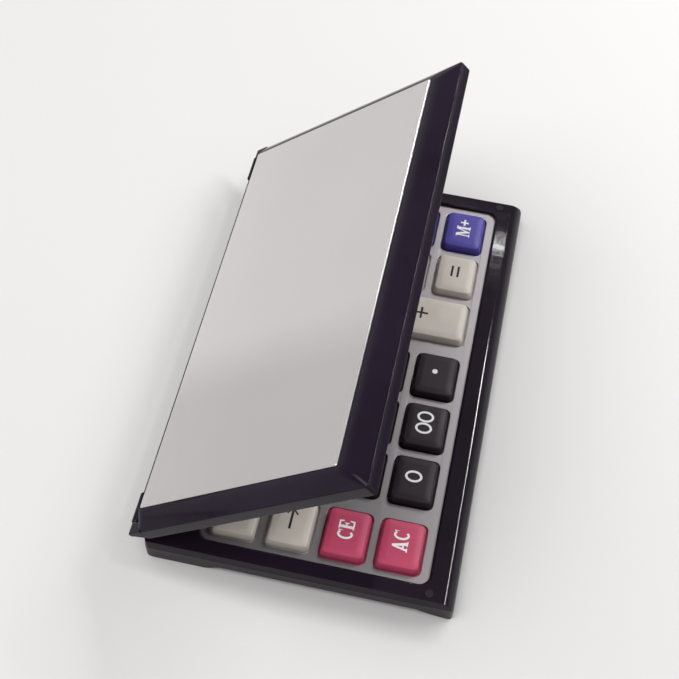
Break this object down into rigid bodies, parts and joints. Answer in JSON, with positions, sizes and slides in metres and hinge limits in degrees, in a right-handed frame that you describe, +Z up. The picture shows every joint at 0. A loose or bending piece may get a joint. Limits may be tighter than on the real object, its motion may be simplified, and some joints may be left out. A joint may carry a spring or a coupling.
{
  "type": "folding pocket calculator",
  "caption": "Pocket calculator with a slim keypad base and a hinged lid, covered by a metal plate, that carries the display and opens like a notebook.",
  "frame": {"origin": "on the desk, in the middle of the footprint from the front lip to the back of the hinge", "axes": "+X along the keypad, +Y from the front lip back to the hinge, +Z up"},
  "size_m": [0.127, 0.0811, 0.0596],
  "materials": {
    "case_plastic": "high gloss moulded plastic, near black with a plum cast",
    "lid_plastic": "high gloss moulded plastic, near black with a plum cast",
    "lid_metal": "fine satin aluminium sheet with a bright bevelled edge",
    "faceplate_metal": "silver satin sheet",
    "key_red": "satin moulded plastic, crimson pink",
    "key_beige": "satin moulded plastic, warm light grey",
    "key_black": "satin moulded plastic, near black",
    "key_blue": "satin moulded plastic, royal blue",
    "key_rubber": "silicone rubber",
    "circuit_board": "green solder mask",
    "chip_resin": "black resin drop",
    "cell_steel": "nickel plated can",
    "contact_brass": "plated spring strip",
    "screw_steel": "zinc plated",
    "hinge_steel": "polished pin",
    "bumper_rubber": "soft dot",
    "panel_plastic": "fine matte moulded plastic",
    "window_clear": "clear pane",
    "display_grey": "reflective liquid crystal glass, grey green",
    "ribbon_film": "amber film ribbon",
    "solar_brown": "dark solar cell"
  },
  "bodies": {
    "base": {"base_bottom_case": "case_plastic", "base_top_case": "case_plastic", "keypad_faceplate": "faceplate_metal", "keypad_rubber_mat": "key_rubber", "main_circuit_board": "circuit_board", "controller_chip": "chip_resin", "battery_cell": "cell_steel", "battery_contact": "contact_brass", "battery_door": "case_plastic", "case_screws": "screw_steel", "hinge_pins": "hinge_steel", "lid_bumpers": "bumper_rubber"},
    "key_ac_body": {"key_ac": "key_red"},
    "key_ce_body": {"key_ce": "key_red"},
    "key_arrow_body": {"key_arrow": "key_beige"},
    "key_mu_body": {"key_mu": "key_beige"},
    "key_0_body": {"key_0": "key_black"},
    "key_1_body": {"key_1": "key_black"},
    "key_4_body": {"key_4": "key_black"},
    "key_7_body": {"key_7": "key_black"},
    "key_00_body": {"key_00": "key_black"},
    "key_2_body": {"key_2": "key_black"},
    "key_5_body": {"key_5": "key_black"},
    "key_8_body": {"key_8": "key_black"},
    "key_point_body": {"key_point": "key_black"},
    "key_3_body": {"key_3": "key_black"},
    "key_6_body": {"key_6": "key_black"},
    "key_9_body": {"key_9": "key_black"},
    "key_plus_body": {"key_plus": "key_beige"},
    "key_multiply_body": {"key_multiply": "key_beige"},
    "key_percent_body": {"key_percent": "key_beige"},
    "key_equals_body": {"key_equals": "key_beige"},
    "key_minus_body": {"key_minus": "key_beige"},
    "key_divide_body": {"key_divide": "key_beige"},
    "key_root_body": {"key_root": "key_beige"},
    "key_m_plus_body": {"key_m_plus": "key_blue"},
    "key_m_minus_body": {"key_m_minus": "key_blue"},
    "key_mr_body": {"key_mr": "key_blue"},
    "key_mc_body": {"key_mc": "key_blue"},
    "lid": {"lid_shell": "lid_plastic", "lid_metal_plate": "lid_metal", "lid_inner_panel": "panel_plastic", "display_window": "window_clear", "display_glass": "display_grey", "display_ribbon": "ribbon_film", "solar_window": "window_clear", "solar_cell": "solar_brown", "lid_screws": "screw_steel"}
  },
  "joints": [
    {"name": "lid_hinge", "type": "hinge", "parent": "base", "child": "lid", "pos_m": [0, 0.03865, 0.01026], "axis": [-1, 0, 0], "range_deg": [-41.3, 88.7]},
    {"name": "key_ac_press", "type": "slide", "parent": "base", "child": "key_ac_body", "axis": [0, 0, -1], "range_m": [0, 0.0008], "stiffness_N_per_m": 600},
    {"name": "key_ce_press", "type": "slide", "parent": "base", "child": "key_ce_body", "axis": [0, 0, -1], "range_m": [0, 0.0008], "stiffness_N_per_m": 600},
    {"name": "key_arrow_press", "type": "slide", "parent": "base", "child": "key_arrow_body", "axis": [0, 0, -1], "range_m": [0, 0.0008], "stiffness_N_per_m": 600},
    {"name": "key_mu_press", "type": "slide", "parent": "base", "child": "key_mu_body", "axis": [0, 0, -1], "range_m": [0, 0.0008], "stiffness_N_per_m": 600},
    {"name": "key_0_press", "type": "slide", "parent": "base", "child": "key_0_body", "axis": [0, 0, -1], "range_m": [0, 0.0008], "stiffness_N_per_m": 600},
    {"name": "key_1_press", "type": "slide", "parent": "base", "child": "key_1_body", "axis": [0, 0, -1], "range_m": [0, 0.0008], "stiffness_N_per_m": 600},
    {"name": "key_4_press", "type": "slide", "parent": "base", "child": "key_4_body", "axis": [0, 0, -1], "range_m": [0, 0.0008], "stiffness_N_per_m": 600},
    {"name": "key_7_press", "type": "slide", "parent": "base", "child": "key_7_body", "axis": [0, 0, -1], "range_m": [0, 0.0008], "stiffness_N_per_m": 600},
    {"name": "key_00_press", "type": "slide", "parent": "base", "child": "key_00_body", "axis": [0, 0, -1], "range_m": [0, 0.0008], "stiffness_N_per_m": 600},
    {"name": "key_2_press", "type": "slide", "parent": "base", "child": "key_2_body", "axis": [0, 0, -1], "range_m": [0, 0.0008], "stiffness_N_per_m": 600},
    {"name": "key_5_press", "type": "slide", "parent": "base", "child": "key_5_body", "axis": [0, 0, -1], "range_m": [0, 0.0008], "stiffness_N_per_m": 600},
    {"name": "key_8_press", "type": "slide", "parent": "base", "child": "key_8_body", "axis": [0, 0, -1], "range_m": [0, 0.0008], "stiffness_N_per_m": 600},
    {"name": "key_point_press", "type": "slide", "parent": "base", "child": "key_point_body", "axis": [0, 0, -1], "range_m": [0, 0.0008], "stiffness_N_per_m": 600},
    {"name": "key_3_press", "type": "slide", "parent": "base", "child": "key_3_body", "axis": [0, 0, -1], "range_m": [0, 0.0008], "stiffness_N_per_m": 600},
    {"name": "key_6_press", "type": "slide", "parent": "base", "child": "key_6_body", "axis": [0, 0, -1], "range_m": [0, 0.0008], "stiffness_N_per_m": 600},
    {"name": "key_9_press", "type": "slide", "parent": "base", "child": "key_9_body", "axis": [0, 0, -1], "range_m": [0, 0.0008], "stiffness_N_per_m": 600},
    {"name": "key_plus_press", "type": "slide", "parent": "base", "child": "key_plus_body", "axis": [0, 0, -1], "range_m": [0, 0.0008], "stiffness_N_per_m": 600},
    {"name": "key_multiply_press", "type": "slide", "parent": "base", "child": "key_multiply_body", "axis": [0, 0, -1], "range_m": [0, 0.0008], "stiffness_N_per_m": 600},
    {"name": "key_percent_press", "type": "slide", "parent": "base", "child": "key_percent_body", "axis": [0, 0, -1], "range_m": [0, 0.0008], "stiffness_N_per_m": 600},
    {"name": "key_equals_press", "type": "slide", "parent": "base", "child": "key_equals_body", "axis": [0, 0, -1], "range_m": [0, 0.0008], "stiffness_N_per_m": 600},
    {"name": "key_minus_press", "type": "slide", "parent": "base", "child": "key_minus_body", "axis": [0, 0, -1], "range_m": [0, 0.0008], "stiffness_N_per_m": 600},
    {"name": "key_divide_press", "type": "slide", "parent": "base", "child": "key_divide_body", "axis": [0, 0, -1], "range_m": [0, 0.0008], "stiffness_N_per_m": 600},
    {"name": "key_root_press", "type": "slide", "parent": "base", "child": "key_root_body", "axis": [0, 0, -1], "range_m": [0, 0.0008], "stiffness_N_per_m": 600},
    {"name": "key_m_plus_press", "type": "slide", "parent": "base", "child": "key_m_plus_body", "axis": [0, 0, -1], "range_m": [0, 0.0008], "stiffness_N_per_m": 600},
    {"name": "key_m_minus_press", "type": "slide", "parent": "base", "child": "key_m_minus_body", "axis": [0, 0, -1], "range_m": [0, 0.0008], "stiffness_N_per_m": 600},
    {"name": "key_mr_press", "type": "slide", "parent": "base", "child": "key_mr_body", "axis": [0, 0, -1], "range_m": [0, 0.0008], "stiffness_N_per_m": 600},
    {"name": "key_mc_press", "type": "slide", "parent": "base", "child": "key_mc_body", "axis": [0, 0, -1], "range_m": [0, 0.0008], "stiffness_N_per_m": 600}
  ]
}
